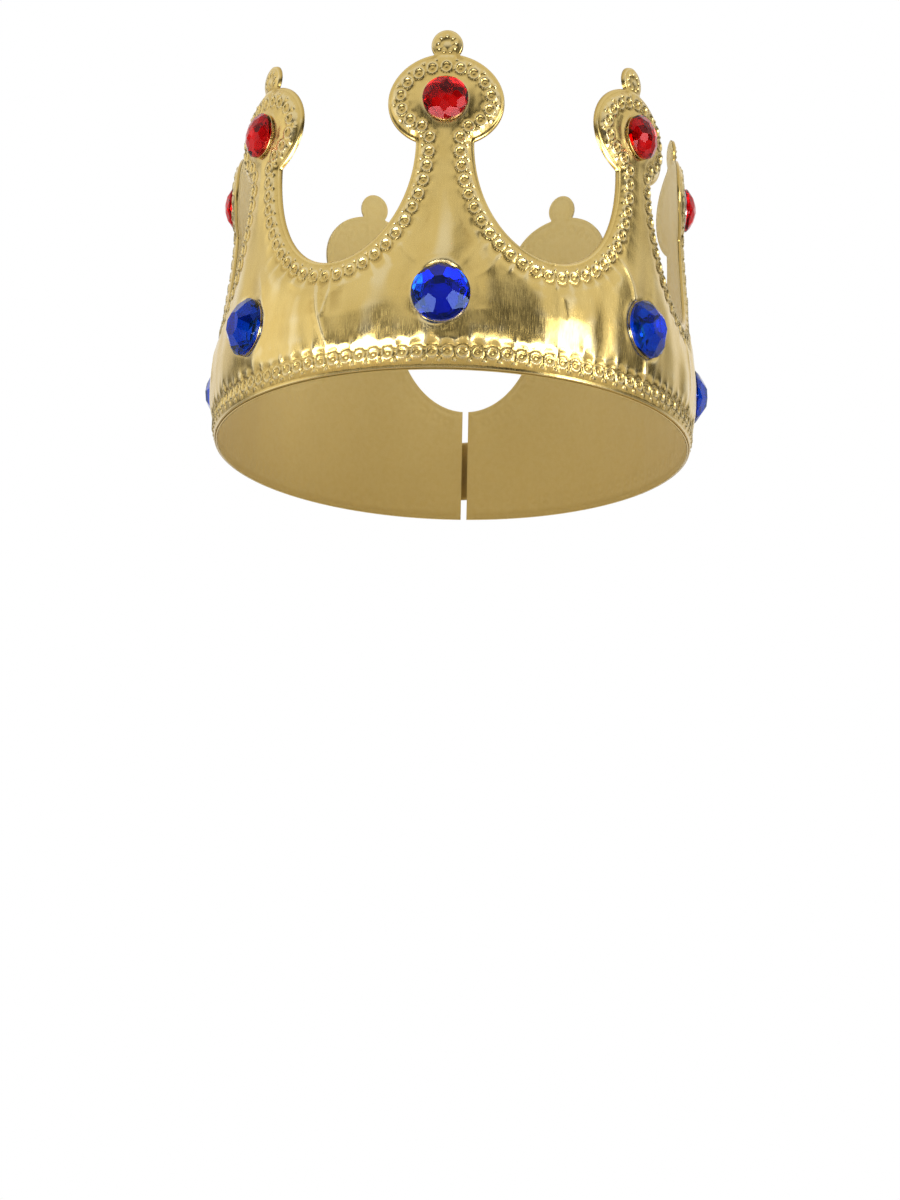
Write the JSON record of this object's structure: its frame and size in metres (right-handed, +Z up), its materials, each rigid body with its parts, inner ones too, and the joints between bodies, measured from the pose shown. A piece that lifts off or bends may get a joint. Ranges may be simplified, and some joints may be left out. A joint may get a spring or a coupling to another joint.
{
  "type": "costume crown",
  "caption": "Padded costume crown: an embossed gold foil strip with round-headed spikes and glued faceted stones, closed round the head by a hook-and-loop tab at the back.",
  "frame": {"origin": "centre of the rim, on the plane that the crown stands on", "axes": "+Z up through the open top, the front spike faces -Y, +X is to the right seen from the front"},
  "size_m": [0.1622, 0.1846, 0.1103],
  "materials": {
    "gold_foil": "metallic foil, soft gloss",
    "gold_lining": "metallic foil, plain",
    "gold_tab": "metallic foil, soft gloss",
    "foam": "soft foam sheet",
    "red_acrylic": "clear red, faceted",
    "blue_acrylic": "clear blue, faceted",
    "mirror_backing": "mirror film",
    "glue": "set glue",
    "hook_tape": "moulded hooks",
    "loop_tape": "brushed loops",
    "gold_thread": "twisted thread"
  },
  "bodies": {
    "band": {"anchor_stitching": "gold_thread", "blue_backing_front": "mirror_backing", "blue_backing_front_left": "mirror_backing", "blue_backing_front_right": "mirror_backing", "blue_backing_rear_left": "mirror_backing", "blue_backing_rear_right": "mirror_backing", "blue_backing_side_left": "mirror_backing", "blue_backing_side_right": "mirror_backing", "blue_gem_front": "blue_acrylic", "blue_gem_front_left": "blue_acrylic", "blue_gem_front_right": "blue_acrylic", "blue_gem_glue": "glue", "blue_gem_rear_left": "blue_acrylic", "blue_gem_rear_right": "blue_acrylic", "blue_gem_side_left": "blue_acrylic", "blue_gem_side_right": "blue_acrylic", "foam_core": "foam", "front_skin": "gold_foil", "lining": "gold_lining", "loop_stitching": "gold_thread", "loop_tape": "loop_tape", "red_backing_front": "mirror_backing", "red_backing_front_left": "mirror_backing", "red_backing_front_right": "mirror_backing", "red_backing_rear_left": "mirror_backing", "red_backing_rear_right": "mirror_backing", "red_backing_side_left": "mirror_backing", "red_backing_side_right": "mirror_backing", "red_gem_front": "red_acrylic", "red_gem_front_left": "red_acrylic", "red_gem_front_right": "red_acrylic", "red_gem_glue": "glue", "red_gem_rear_left": "red_acrylic", "red_gem_rear_right": "red_acrylic", "red_gem_side_left": "red_acrylic", "red_gem_side_right": "red_acrylic", "tab_anchor": "gold_tab"},
    "closing_tab": {"tab_flap": "gold_tab", "hook_tape": "hook_tape", "flap_stitching": "gold_thread"}
  },
  "joints": [
    {"name": "tab_fold", "type": "hinge", "parent": "band", "child": "closing_tab", "pos_m": [0.0015, 0.0904, 0.018], "axis": [0, 0.0436, -0.999], "range_deg": [0, 100]}
  ]
}
